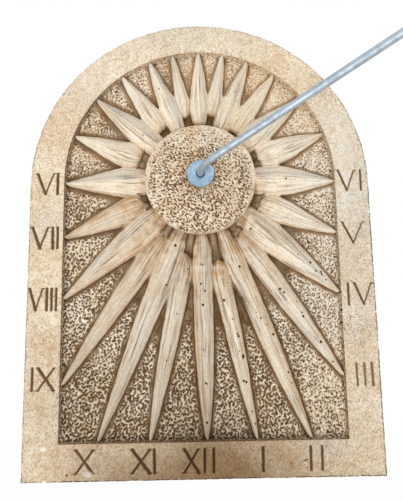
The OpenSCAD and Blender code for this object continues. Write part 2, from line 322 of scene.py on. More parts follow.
class Worms:
    """Winding ridges of one spacing, as a stippling tool leaves in wet stone: a tile of
    noise with only the waves near that spacing left in it, about -1 to 1."""

    TILE, CELLS = 160.0, 512

    def __init__(self, seed, spacing, spread=0.30, lean=0.0, stretch=1.0):
        rng = np.random.default_rng(seed)
        waves = np.fft.fftfreq(self.CELLS, self.TILE / self.CELLS)
        fz, fx = np.meshgrid(waves, waves, indexing="ij")
        along = fx * cos(lean) + fz * sin(lean)
        across = -fx * sin(lean) + fz * cos(lean)
        ring = np.hypot(along * stretch, across) * spacing - 1
        keep = np.exp(-((ring / spread) ** 2))
        field = np.fft.ifft2(np.fft.fft2(rng.normal(size=fx.shape)) * keep).real
        self.field = (field / field.std() / 1.6).astype(np.float32)

    def __call__(self, x, z):
        cell = self.TILE / self.CELLS
        u, v = np.asarray(x) / cell, np.asarray(z) / cell
        i, j = np.floor(u).astype(int), np.floor(v).astype(int)
        u, v = (u - i).astype(np.float32), (v - j).astype(np.float32)
        n = self.CELLS
        i, j, k, m = i % n, j % n, (i + 1) % n, (j + 1) % n
        f = self.field
        low = f[j, i] * (1 - u) + f[j, k] * u
        high = f[m, i] * (1 - u) + f[m, k] * u
        return low * (1 - v) + high * v


class Pits:
    """Pits pressed in at random, about one spacing apart: low in the middle of a pit and
    high on the ridges that are left between them, about -1 to 1."""

    CELLS = 64

    def __init__(self, seed, spacing, lean=0.0, stretch=1.0):
        self.middles = np.random.default_rng(seed).uniform(0, 1, (self.CELLS, self.CELLS, 2))
        self.along = np.array([cos(lean), sin(lean)]) / (spacing * stretch)
        self.across = np.array([-sin(lean), cos(lean)]) / spacing

    def __call__(self, x, z):
        u = x * self.along[0] + z * self.along[1]
        v = x * self.across[0] + z * self.across[1]
        i, j = np.floor(u).astype(int), np.floor(v).astype(int)
        near = np.full(u.shape, 9.0)
        for di in (-1, 0, 1):
            for dj in (-1, 0, 1):
                middle = self.middles[(i + di) % self.CELLS, (j + dj) % self.CELLS]
                near = np.minimum(near, np.hypot(i + di + middle[..., 0] - u, j + dj + middle[..., 1] - v))
        return (near - 0.48) * 3.1


BROAD = Noise(11)
PATCHES = Noise(12)
WAVER = Noise(13)
GRIT = Noise(14)
GRAIN = Noise(15)
FIELD_PITS = Pits(21, 2.0, lean=radians(70), stretch=1.2)
FIELD_WORMS = Worms(21, 3.0, spread=0.80, lean=radians(80), stretch=1.15)
UPPER_PITS = Pits(24, 1.75, lean=radians(20), stretch=1.15)
DISC_PITS = Pits(25, 1.7, lean=radians(-38), stretch=1.6)
FINE_WORMS = Worms(23, 1.9, spread=0.5)
DISC_WORMS = Worms(22, 2.3, spread=0.75, lean=radians(-38), stretch=1.9)


def ease(low, high, value):
    """0 up to the low value, 1 from the high one on, and smooth between them."""
    t = clipped((value - low) / (high - low))
    return t * t * (3 - 2 * t)


def mix(a, b, share):
    return a + (b - a) * share


def clipped(value):
    return np.clip(value, 0, 1)


def bump_at(x, z, at_x, at_z, size_x, size_z=None):
    """1 at a place, falling smoothly to 0 about two sizes away."""
    size_z = size_z or size_x
    return np.exp(-(((x - at_x) / size_x) ** 2 + ((z - at_z) / size_z) ** 2))


def dabs(x, z, patches):
    """The sum of soft patches."""
    return sum(much * bump_at(x, z, at_x, at_z, wide, high)
               for at_x, at_z, wide, high, much in patches)


# ---- mesh helpers


def to_row(x, z, out):
    """Plan places in mm as row points in metres."""
    x, z, out = np.broadcast_arrays(x, z, out)
    return (np.stack([x, -out, z], -1) * MM).astype(np.float32)


def in_scene(name, data):
    """An object with this mesh, lamp or camera, linked into the scene."""
    piece = bpy.data.objects.new(name, data)
    bpy.context.scene.collection.objects.link(piece)
    return piece


def full_turn(count):
    return np.linspace(0, 2 * pi, count, endpoint=False)


def turned(section, count):
    """A section of (r, out) turned about the centre: each point's r, turn and out."""
    radii, outs = np.array(section).T
    r, turn = np.meshgrid(radii, full_turn(count), indexing="ij")
    return r, turn, np.broadcast_to(outs[:, None], r.shape)


def write_masks(mesh, masks):
    """Each mask as a colour of the mesh's points."""
    for name, values in masks.items():
        attribute = mesh.attributes.new(name, "FLOAT_COLOR", "POINT")
        rgba = np.ones((len(mesh.vertices), 4), np.float32)
        rgba[:, :3] = clipped(values)
        attribute.data.foreach_set("color", rgba.ravel())


def new_piece(name, x, z, out, faces, masks=None):
    """A mesh object from points in plan and faces of four corners."""
    points = to_row(x, z, out).reshape(-1, 3)
    mesh = bpy.data.meshes.new(name)
    mesh.vertices.add(len(points))
    mesh.vertices.foreach_set("co", points.ravel())
    corners = faces.shape[1]
    mesh.loops.add(faces.size)
    mesh.loops.foreach_set("vertex_index", np.ascontiguousarray(faces, np.int32).ravel())
    mesh.polygons.add(len(faces))
    mesh.polygons.foreach_set("loop_start", np.arange(len(faces), dtype=np.int32) * corners)
    mesh.update(calc_edges=True)
    mesh.polygons.foreach_set("use_smooth", np.full(len(faces), True))
    write_masks(mesh, masks or {})
    return in_scene(name, mesh)


def grid_faces(rows, columns, wrap_rows=False, wrap_columns=False):
    """Quads over a grid of points, numbered row by row."""
    i = np.arange(rows if wrap_rows else rows - 1)
    j = np.arange(columns if wrap_columns else columns - 1)
    i, j = (a.ravel() for a in np.meshgrid(i, j, indexing="ij"))
    k, m = (i + 1) % rows, (j + 1) % columns
    return np.stack([i * columns + j, i * columns + m, k * columns + m, k * columns + j], -1)


def stone_masks(wash_and_shade, ochre, grey, line=0, chip=0, low_darkening=0):
    """The two mask attributes that the stone's material reads."""
    rows = np.broadcast_arrays(wash_and_shade, ochre, grey, line, chip, low_darkening)
    masks = np.stack([mask.ravel() for mask in rows], -1)
    return {"patina": masks[:, :3], "marks": masks[:, 3:]}


# ---- ray layout


def hour_angle(hour):
    """The line that an hour falls on, from straight down towards the right."""
    turn = radians(15 * hour)
    return atan2(cos(LATITUDE) * sin(turn), cos(turn))


def reach(dx, dz):
    """How far a line from the centre runs before it is TIP_GAP short of the border."""
    half = FIELD_HALF - TIP_GAP
    to_side = half / max(abs(dx), 0.001)
    to_bottom = (-FIELD_BOTTOM - TIP_GAP) / -dz if dz < 0 else PLAQUE_TOP * 3
    to_arch = FIELD_SPRING * dz + sqrt((FIELD_SPRING * dz) ** 2 - FIELD_SPRING ** 2 + half ** 2)
    straight = min(to_side, to_bottom)
    return to_arch if straight * dz > FIELD_SPRING else straight


class Ray:
    """One ray: its place, its direction and how wide and high it is along its length."""

    def __init__(self, hour, row):
        self.hour = hour
        self.root, self.widest, self.width, self.fullness, swing = row[:5]
        self.crisp, self.grey_ccw, self.grey_cw, self.ochre, self.pinholes = row[5:]
        self.pinhole_side = 1 if hour < EVEN_HOLES_FROM else 0
        self.root_power = mix(ROOT_POWER, LOOSE_ROOT_POWER, max(0, min(1, (self.root - 52) / 10)))
        angle = hour_angle(hour) + radians(swing)
        self.dx, self.dz = sin(angle), -cos(angle)
        self.tip = reach(self.dx, self.dz)
        upper = max(0, min(1, (self.dz - 0.4) / 0.5))
        self.tip_width = mix(TIP_W, UPPER_TIP_W, upper)
        self.tip_lift = mix(TIP_LIFT, UPPER_TIP_LIFT, upper)

    def along_across(self, x, z):
        return x * self.dx + z * self.dz, -x * self.dz + z * self.dx

    def root_share(self, s):
        t = clipped((s - self.root) / (self.widest - self.root))
        return (1 - (1 - t) ** self.root_power) ** (1 / self.root_power)

    def taper(self, s, tip_width):
        """How far out a place is, from the widest place to the tip, and its width."""
        t = clipped((s - self.widest) / (self.tip - self.widest))
        return t, mix(tip_width, self.width, 1 - t ** self.fullness)

    def half_width(self, s):
        return self.taper(s, self.tip_width)[1] / 2 * self.root_share(s)

    def ridge(self, s):
        t, width = self.taper(s, TIP_W)
        rise = TIP_RISE + RIDGE_SHARE * (width - TIP_W * t) + self.tip_lift * t ** 6
        return rise * mix(ROOT_RISE_SHARE, 1, self.root_share(s))

    def distance(self, x, z):
        """How far a place on the field is from the ray's side, 0 under the ray."""
        s, v = self.along_across(x, z)
        past = np.maximum(np.maximum(self.root - s, s - self.tip), 0)
        beside = np.maximum(np.abs(v) - self.half_width(np.clip(s, self.root, self.tip)), 0)
        return np.hypot(past, beside)


RAY_LIST = [Ray(k + 1, row) for k, row in enumerate(RAYS)]


def border_distance(x, z):
    """How far a place inside the border is from the border's inner edge."""
    straight = np.minimum(FIELD_HALF - np.abs(x), z - FIELD_BOTTOM)
    arch = FIELD_HALF - np.hypot(x, z - FIELD_SPRING)
    return np.where(z > FIELD_SPRING, arch, straight)


def low_darkening_at(x, z):
    return clipped(dabs(x, z, LOW_DARKENING) + 0.10 * BROAD(x, z, 60))


# ---- the border


def numeral_strokes():
    """Every stroke as its two ends and its width. The hand that cut them varied."""
    rng = np.random.default_rng(NUMERAL_SEED)
    strokes = [((81.5, -237.8), (85, -237.2), 1.1)]  # where the tool slipped

    def cut(start, end, width):
        strokes.append((start, end, width))

    for letters, middle, *edges in NUMERALS:
        top, foot = middle + NUMERAL_H / 2, middle - NUMERAL_H / 2
        for letter, edge in zip(letters, edges):
            left, right = edge[0], edge[-1]
            if letter == "I":
                lean = rng.uniform(-0.3, 0.4)
                cut((left, top), (left + lean, foot), rng.uniform(*I_WIDTHS))
            elif letter == "V":
                point = ((left + right) / 2, foot)
                cut((left, top), point, rng.uniform(*V_WIDTHS))
                cut((right, top), point, rng.uniform(*THIN_WIDTHS))
                cut((left - 1.8, top + 0.4), (left + 0.4, top), 1.0)
                cut((right - 0.4, top), (right + 2.0, top + 0.3), 1.0)
            else:
                cut((left, top), (right, foot), rng.uniform(*X_WIDTHS))
                cut((right, top), (left, foot), rng.uniform(*THIN_WIDTHS))
                for at, level, before, after, width in (
                        (left, top, 1.2, 1.6, 0.9), (right, foot, 1.6, 1.4, 1.0),
                        (right, top, 1.4, 1.5, 0.9), (left, foot, 1.5, 1.2, 0.9)):
                    cut((at - before, level), (at + after, level), width)
    return strokes


def stroke_grooves(x, z):
    """How deep the numerals' V grooves cut at each place, as a share of full depth."""
    groove = np.zeros_like(x)
    x = x + STROKE_WAVER * WAVER(x, z, 4.0)
    z = z + STROKE_WAVER * WAVER(x + 50, z, 4.0)
    for (x0, z0), (x1, z1), width in numeral_strokes():
        # The strokes on the right are cut thinner, most of all VI's and V's slanting ones
        thin = ease(60, 130, x0) * mix(0.12, 0.20, (abs(x1 - x0) > 1) * (z0 > -50))
        width = width * (1.05 - 1.2 * thin)
        near = np.abs(x - (x0 + x1) / 2) < abs(x1 - x0) / 2 + 3
        near &= np.abs(z - (z0 + z1) / 2) < abs(z1 - z0) / 2 + 3
        px, pz = x[near] - x0, z[near] - z0
        length = hypot(x1 - x0, z1 - z0)
        ux, uz = (x1 - x0) / length, (z1 - z0) / length
        s = np.clip(px * ux + pz * uz, 0, length)
        d = np.hypot(px - s * ux, pz - s * uz)
        groove[near] = np.maximum(groove[near], clipped(1.25 - d / (width / 2)))
    return groove


def border_outline(step):
    """Matching points round the plaque's outline and round the border's inner edge."""
    across = int(2 * PLAQUE_HALF / step)
    up = int((OUTER_SPRING - PLAQUE_BOTTOM) / step)
    round_top = int(pi * PLAQUE_HALF * 0.92 / step)
    turn = np.linspace(0, pi, round_top, endpoint=False)

    def line(a, b, n):
        t = np.linspace(0, 1, n, endpoint=False)[:, None]
        return np.array(a) * (1 - t) + np.array(b) * t

    def ring(half, bottom, spring):
        return np.concatenate([
            line((-half, bottom), (half, bottom), across),
            line((half, bottom), (half, spring), up),
            np.stack([half * np.cos(turn), spring + half * np.sin(turn)], -1),
            line((-half, spring), (-half, bottom), up),
        ])

    outer = ring(PLAQUE_HALF, PLAQUE_BOTTOM, OUTER_SPRING)
    return outer, ring(FIELD_HALF, FIELD_BOTTOM, FIELD_SPRING)


def border_profile():
    """The border's cross-section, up its outside, over its face and down to the field:
    how far in each point lies, as a share of the border's width, and how far out."""
    quarter = [pi / 2 * k / 4 for k in range(5)]
    rows = [(0, out) for out in np.linspace(0, BORDER_OUT - OUTER_EDGE_R, 16)]
    rows += [(OUTER_EDGE_R * (1 - cos(a)), BORDER_OUT - OUTER_EDGE_R * (1 - sin(a)))
             for a in quarter[1:]]
    flat = BORDER_SIDE - OUTER_EDGE_R - INNER_EDGE_R
    steps = int(flat / BORDER_STEP)
    rows += [(OUTER_EDGE_R + flat * k / steps, BORDER_OUT) for k in range(1, steps)]
    rows += [(BORDER_SIDE - INNER_EDGE_R * (1 - sin(a)),
              BORDER_OUT - INNER_EDGE_R * (1 - cos(a))) for a in quarter]
    wall = np.linspace(BORDER_OUT - INNER_EDGE_R, FIELD_OUT - BURIED, 19)[1:]
    rows += [(BORDER_SIDE + WALL_LEAN * k / WALL_STEPS, out) for k, out in enumerate(wall)]
    inset, out = np.array(rows).T
    return inset / BORDER_SIDE, out


def border_grid():
    """The border's points, how far in from the outline they lie, and the way inwards."""
    outer, inner = border_outline(BORDER_STEP)
    share, out = (column[:, None] for column in border_profile())
    x = outer[None, :, 0] * (1 - share) + inner[None, :, 0] * share
    z = outer[None, :, 1] * (1 - share) + inner[None, :, 1] * share
    out = np.broadcast_to(out, x.shape).copy()
    inset = np.broadcast_to(share * BORDER_SIDE, x.shape)
    inwards = inner - outer
    inwards = inwards / np.hypot(inwards[:, 0], inwards[:, 1])[:, None]
    return x, z, out, inset, inwards[None, :, 0], inwards[None, :, 1]


def border_chips(x, z, out):
    """1 where a corner or an edge has broken off."""
    chips = np.zeros_like(x)
    for at_x, at_z, size in CHIPS:
        near = bump_at(x, z, at_x, at_z, size, size * 0.6)
        chips = np.maximum(chips, ease(0.25, 0.75, near + 0.12 * GRIT(x, z, 1.6)))
    return chips * ease(BORDER_OUT - 3.5, BORDER_OUT - 1.5, out)


def inner_wall(x, z, out, in_x, in_z, depth_in):
    """The wall inside the border, where the stipple runs on up: its brown wash with painted
    shade, heavier on the walls turned from the light, and its pale crests, which begin
    nearer the edge on the walls that face the light."""
    down = (out - FIELD_OUT) * 0.7
    wall_x, wall_z = x - in_x * down, z - in_z * down
    crest = stippled(field_worms(wall_x, wall_z), wall_x, wall_z, 0.4, 0.5, 0.05)
    facing = clipped(in_z * -0.8 - in_x * 0.6 + 0.45 * ease(60, 110, z))
    lit = ease(mix(0.16, 0.06, facing), mix(0.38, 0.22, facing), depth_in) * crest
    return mix(mix(0.95, 0.50, facing), mix(0.25, -0.1, facing), lit), lit


def make_border():
    x, z, out, inset, in_x, in_z = border_grid()
    top = ease(FACE_FROM, BORDER_OUT - 0.1, out)
    outer_wall = (inset < 0.01) & (out < BORDER_OUT - 0.1)
    depth_in = clipped((BORDER_OUT - out) / (BORDER_OUT - FIELD_OUT)) * (inset > BORDER_SIDE / 2)

    # The border's edges waver a little, never past the plaque's outline
    edge = 0.5 + 0.5 * WAVER.rough(x, z, 9)
    pull = (clipped(edge) * 0.45 + 0.3 * clipped(GRIT(x, z, 2.4))) * (inset < 3)
    x, z = x + in_x * pull, z + in_z * pull

    groove = stroke_grooves(x, z) * top
    swell = 0.20 * BROAD(x, z, 38) + 0.12 * PATCHES(x, z, 11) + 0.07 * PATCHES(x, z, 4)
    pits = ease(0.42, 0.80, GRIT(x, z, 1.15))
    pits = pits * ease(-0.35, 0.45, PATCHES(x, z, 14) + 0.15)
    grit = BORDER_GRIT * GRIT(x, z, 0.9)
    chips = border_chips(x, z, out)
    relief = swell + grit - BORDER_PIT * pits - CHIP_DEPTH * chips
    out = out + top * relief - GROOVE_DEPTH * groove
    bulge = (inset > BORDER_SIDE - 0.1) * 0.25 * WAVER(x * 1.3 + out * 3, z * 1.3, 4.0)
    x, z = x + in_x * bulge, z + in_z * bulge
    out = np.where(out < 0.01, 0, out)

    # On the outer wall the patterns run on backwards
    back = (BORDER_OUT - out) * outer_wall
    back_x, back_z = x + back, z + 0.7 * back
    blotch = ease(-0.35, 0.75, PATCHES.rough(back_x, back_z, 26) + 0.22 * BROAD(x, z, 70))
    mottle = PATCHES.rough(back_x + 300, back_z, 7)
    cool, warm = dabs(x, z, BORDER_COOL), dabs(x, z, BORDER_WARM)
    low_edge = ease(PLAQUE_BOTTOM + 7, PLAQUE_BOTTOM, z)
    # A dark line round the plaque's outer edge, strongest on the right and at the bottom: painted shade
    rim_shade = ease(1.7, 0.5, inset) * ease(FACE_FROM, BORDER_OUT - 0.9, out)
    rim_shade = rim_shade * ease(-0.5, 0.3, GRIT(x, z, 2.2) + 0.7 * PATCHES(x, z, 16))

    # Grooves, pits, painted shade along the right and the lower rim, and dark specks
    strokes = clipped(groove * 1.5)
    line = strokes * (0.63 - 0.13 * bump_at(x, z, *FAINT_STROKES))
    specks = ease(0.20, 0.40, GRIT(x + 30, z, 1.3))
    for mark in (0.62 * pits * top,
                 0.45 * outer_wall * ease(0.2, 0.8, GRIT(x + out, z + out, 1.3)),
                 0.78 * rim_shade * np.maximum(ease(60, 120, x), low_edge),
                 0.72 * top * bump_at(x, z, *SPECKLED) * specks):
        line = np.maximum(line, mark)
    for pit in PITS:
        line = np.maximum(line, ease(0.3, 0.8, bump_at(x, z, *pit)))

    rough = ease(140, -60, z + 0.25 * x) * (0.6 + 0.8 * ease(0, 120, x))
    grains = ease(0.05, 0.7, GRIT(back_x, back_z, 1.5) + 0.3 * PATCHES(x, z, 6))
    wash_and_shade = 0.10 * ease(0.0, 0.9, mottle)
    wash_and_shade = wash_and_shade + 0.16 * low_edge * (0.6 + 0.6 * GRIT(back_x, back_z, 2.5))
    wash_and_shade = wash_and_shade + 0.07 * ease(-110, -200, z)
    wash_and_shade = wash_and_shade + rough * (0.05 + 0.22 * grains)
    # The inner wall's wash: brown patina with painted shade, heavier on the walls turned from the light
    wall_wash_and_shade, lit = inner_wall(x, z, out, in_x, in_z, depth_in)
    wash_and_shade = mix(wash_and_shade, wall_wash_and_shade, ease(0.02, 0.12, depth_in)) + 0.22 * outer_wall + 0.8 * rim_shade

    rusty = bump_at(x, z, *RUSTY) * ease(-0.3, 0.4, mottle)
    ochre = 0.06 + 0.30 * blotch * (0.5 + warm) + 0.75 * warm * ease(-0.5, 0.7, mottle)
    ochre = ochre + 0.30 * ease(BORDER_SIDE - 3, BORDER_SIDE, inset) * (0.6 + 0.5 * mottle)
    ochre = ochre + 0.28 * bump_at(x, z, *TAN_PATCH) * ease(79, 75, z + 2 * mottle)
    ochre = mix(ochre + 0.7 * rusty, mix(0.85, 0.25, lit), ease(0.0, 0.1, depth_in))
    white = dabs(x, z, BORDER_WHITE) * ease(-0.6, 0.3, mottle)
    bare = np.maximum(chips * 0.85, white * top * (1 - strokes))
    masks = stone_masks(wash_and_shade, ochre, cool * (0.75 + 0.4 * mottle), line, bare, low_darkening_at(x, z))
    return new_piece("plaque_border", x, z, out, grid_faces(*x.shape, wrap_columns=True), masks)


# ---- the field


def bent(x, z, by):
    return x + by * WAVER(x, z, 5), z + by * WAVER(x + 90, z, 5)


def field_worms(x, z):
    """The field's stipple, which is finer in its upper half."""
    upper = ease(-70, 50, z)
    x, z = bent(x, z, 0.7)
    pits = (FIELD_PITS(x, z) * (1 - upper) + UPPER_PITS(x, z) * upper) / np.hypot(1 - upper, upper)
    return 0.90 * pits + 0.40 * FIELD_WORMS(x, z)


def stippled(level, x, z, coarse, fine, more=0):
    """1 on a stipple's crests and 0 in its pits, broken up as a worn brush leaves it."""
    level = level + coarse * PATCHES(x, z, 6.5) + fine * FINE_WORMS(x, z)
    return ease(-0.55, 0.18, level + 0.15 * GRIT(x, z, 1.0) + more)


def stipple_cover(x, z, beside, gap, to_disc, upper):
    """1 where the field is stippled, 0 close to the rays, the disc and the border."""
    ragged = 1.2 * WAVER.rough(x, z, 6)
    # In the left's upper sectors the smooth margins beside the rays are widest
    wide = ease(-40, -80, x) * ease(-60, 10, z)
    low, high = mix(1.5, 0.8, upper) + wide, mix(4.2, 4.4, upper) + 2.6 * wide
    cover = ease(low, high, beside + 0.9 * ragged)
    cover = cover * ease(mix(8, 2, upper), mix(14, 8, upper), gap + 3.0 * ragged)
    cover = cover * ease(-0.5, 0.4, border_distance(x, z))
    return cover * ease(mix(20, 10, upper), mix(32, 26, upper), to_disc + 3.5 * ragged)


def field_surface(x, z):
    """The stippled field: how far out it stands, and its masks."""
    gaps = np.sort(np.stack([ray.distance(x, z) for ray in RAY_LIST]), axis=0)[:2]
    beside, gap = gaps[0], gaps[0] + gaps[1]
    to_disc = np.hypot(x, z) - DISC_R
    upper = ease(-20, 90, z)
    at_crown = ease(20, 50, z)
    paler = ease(-160, 130, 0.75 * x + z)
    low_right = bump_at(x, z, *LOW_RIGHT)
    stipple = stipple_cover(x, z, beside, gap, to_disc, upper)
    more = (0.30 * (paler - 0.22) + dabs(x, z, FIELD_WORN) + 0.22 * PATCHES.rough(x, z, 24)
            + low_right * (0.30 + 0.55 * PATCHES.rough(x, z, 4.5)) + 0.1 * ease(70, 110, z)
            + 0.25 * paler * PATCHES.rough(x, z + 50, 12) - 0.7 * upper * ease(16, 5, gap))
    crest = stippled(field_worms(x, z), x, z, 0.30, mix(0.20, 0.55, paler), more)
    out = FIELD_OUT + stipple * (FIELD_CREST - FIELD_STIPPLE * (1 - crest))
    out = out - (1 - stipple) * SMOOTH_DEPTH
    out = out + 0.12 * PATCHES(x, z, 9) + 0.05 * GRIT(x, z, 0.9) * (1 - stipple)
    # The cast has run up between rays that all but touch, and has half filled the
    # pockets between the roots and the disc
    seam = ease(3.6, 1.0, gap) * ease(3, 8, to_disc)
    pocket = ease(mix(19, 13, at_crown), mix(6, 2, at_crown), to_disc) * ease(12, 4, gap)
    filled = mix(POCKET_RISE, CROWN_POCKET_RISE, at_crown) * pocket
    out = out + np.maximum(SEAM_RISE * seam, filled)

    worn = 0.14 * PATCHES.rough(x, z, 22) + 0.32 * bump_at(x, z, *GOLDEN)
    worn = worn + 0.12 * bump_at(x, z, *WORN_RIGHT)
    in_pits = 1.28 - 0.34 * paler - 0.22 * low_right - 0.30 * ease(78, 118, z) - worn
    in_pits = in_pits * (0.92 + 0.35 * PATCHES(x + 70, z, 4.5))
    on_crests = 0.07 - 0.14 * paler - 0.8 * worn + 0.16 * GRIT(x, z, 1.7)
    margin = 0.96 - 0.28 * paler + 0.18 * PATCHES(x, z, 10) + 0.10 * GRIT(x, z, 1.4)
    margin = margin - 0.16 * ease(3.5, 1.2, beside) * (1 - 0.8 * ease(20, 5, to_disc))
    # Near the disc the gaps between the roots, and the field right at the foot of the rays, are browner:
    # patina with painted shade
    at_roots = mix(0.66, 1.1, at_crown) - 0.4 * bump_at(x, z, *PALE_ROOTS)
    root_dark = ease(26, 5, to_disc) * ease(14, 5, gap)
    wash_and_shade = mix(margin, mix(in_pits, on_crests, crest), stipple)
    wash_and_shade = mix(wash_and_shade, at_roots, 0.75 * root_dark) + 0.30 * ease(2.2, 0, beside)
    wash_and_shade = mix(wash_and_shade, 0.25, seam)

    warm = 0.30 + 0.35 * PATCHES.rough(x, z, 20) + dabs(x, z, FIELD_WARM)
    warm = warm + 0.3 * ease(22, 8, to_disc) * ease(-0.2, 0.6, PATCHES(x, z, 10))
    warm = warm + mix(-0.2, 0.4, at_crown) * pocket
    warm_crests = 0.40 + 0.3 * ease(-40, -100, x) * ease(60, 20, z)
    warm = (warm + 0.3 * low_right + 0.35 * upper) * mix(1, warm_crests, crest * stipple)
    warm = warm + 0.40 * ease(5, 1, beside)
    cool = 0.55 * bump_at(x, z, *COOL_RIGHT) * crest * stipple
    return out, stone_masks(wash_and_shade, warm, cool, 0.25 * root_dark * at_crown, 0, low_darkening_at(x, z))


def make_field(name, z_low, z_high):
    """The field between two heights, without the cells that rays or the disc hide."""
    half = FIELD_HALF + 0.3
    xs = np.linspace(-half, half, int(2 * half / FIELD_STEP) + 1)
    zs = np.linspace(z_low, z_high, int((z_high - z_low) / FIELD_STEP) + 1)
    x, z = np.meshgrid(xs, zs)
    hidden = (np.hypot(x, z) < DISC_R - UNDER_DISC) | (border_distance(x, z) < -0.45)
    for ray in RAY_LIST:
        s, v = ray.along_across(x, z)
        hidden |= (s > ray.root) & (s < ray.tip) & (np.abs(v) < ray.half_width(s) - UNDER_RAY)
    faces = grid_faces(*x.shape)
    faces = faces[~hidden.ravel()[faces].all(axis=1)]
    used, faces = np.unique(faces, return_inverse=True)
    faces = faces.reshape(-1, 4)
    x, z = x.ravel()[used], z.ravel()[used]
    # The outermost cells reach just inside the border's wall, and end there
    over = np.clip(-border_distance(x, z) - 0.2, 0, None)
    x = x - np.sign(x) * over * (np.abs(x) > 20)
    out, masks = field_surface(x, z)
    return new_piece(name, x, z, out, faces, masks)


# ---- the rays


def grain_lines(ray, s, across):
    """Fine grooves that run the length of a ray and close up towards its tip, and the
    paler and darker streaks between them."""
    lane = across * ray.width / 2 + 40 * ray.hour
    sway = 0.4 * WAVER(s + 17 * ray.hour, lane, 40, 9)
    coarse = GRAIN(lane + sway, s + 9 * ray.hour, 3.0, 75)
    fine = GRAIN(lane + sway + 70, s - 9 * ray.hour, 1.5, 48)
    broken = ease(-0.70, 0.10, GRAIN(lane - 30, s, 3.0, 40))
    patchy = ease(-0.7, 0.5, PATCHES(lane * 2, s, 14, 30))
    lines = ease(0.22, 0.0, np.abs(coarse)) * broken
    lines = lines + 0.75 * ease(0.22, 0.0, np.abs(fine))
    streaks = GRAIN(lane + sway + 150, s, 1.25, 60) * (0.6 + 0.4 * patchy)
    return clipped(lines * (0.45 + 0.55 * patchy)), streaks


def ray_grid(ray):
    """A ray's cross-sections, up one wall, over the ridge and down: how far along the
    ray each point lies, how far across from -1 to 1, and how far down its wall."""
    t = np.linspace(0, 1, int((ray.tip - ray.root) / RAY_STEP))
    s = ray.root + (ray.tip - ray.root) * t ** ROOT_CROWDING
    s = np.unique(np.concatenate([ray.root + ROOT_STEPS, s[2:-1], ray.tip - TIP_STEPS]))
    top_count = max(15, int(ray.width / RAY_STEP_ACROSS) | 1)
    top = np.linspace(-1, 1, top_count)
    top = np.sign(top) * (1 - (1 - np.abs(top)) ** EDGE_CROWDING)
    down = np.concatenate([RAY_WALL, np.zeros(top_count), RAY_WALL[::-1]])
    across = np.concatenate([-np.ones(len(RAY_WALL)), top, np.ones(len(RAY_WALL))])
    s, across = np.meshgrid(s, across, indexing="ij")
    return s, across, np.broadcast_to(down[None], s.shape)


def outline_half(ray, s, side, seed):
    """Half the ray's width with its worn tip, a slight waver and II's nick. The shares
    that come with it are how full the tip is and how closely the next ray meets this."""
    tip_round = np.sqrt(clipped(1 - clipped((s - (ray.tip - TIP_ROUND)) / TIP_ROUND) ** 2))
    half = ray.half_width(s) * tip_round
    half = half * (1 + 0.04 * WAVER(s + seed, side * 40, 13)) + 0.16 * WAVER(s - seed, side * 60, 5)
    if ray.hour == NICKED_HOUR:
        nick = NICK_DEPTH * ease(NICK_AT - 3, NICK_AT + 2, s)
        half = half - (side < 0) * nick * ease(NICK_AT + 45, NICK_AT + 6, s)
    # Two rays that run close together swell a little and meet
    edge_x = s * ray.dx - side * half * ray.dz
    edge_z = s * ray.dz + side * half * ray.dx
    others = [other for other in RAY_LIST if other is not ray]
    beside = np.min([other.distance(edge_x, edge_z) for other in others], axis=0)
    meets = ease(*MEETING_GAPS, beside)
    return np.maximum(half + MEETING_SWELL * meets * tip_round, 0.02), tip_round, meets


def ray_pinholes(ray, s, v):
    """1 in the pinholes that air left in the cast."""
    rng = np.random.default_rng(RAY_SEED + ray.hour)
    holes = np.zeros_like(s)
    for _ in range(ray.pinholes):
        hole_s = rng.uniform(max(ray.root, DISC_R) + 12, ray.tip - 12)
        hole_v = rng.triangular(-0.7, 0.62 * ray.pinhole_side, 0.7)
        hole_v = hole_v * float(ray.half_width(np.array(hole_s)))
        size = rng.uniform(*RAY_HOLE_R)
        near = np.hypot(s - hole_s, v - hole_v)
        holes = np.maximum(holes, ease(size * 1.35, size * 0.6, near))
    return holes


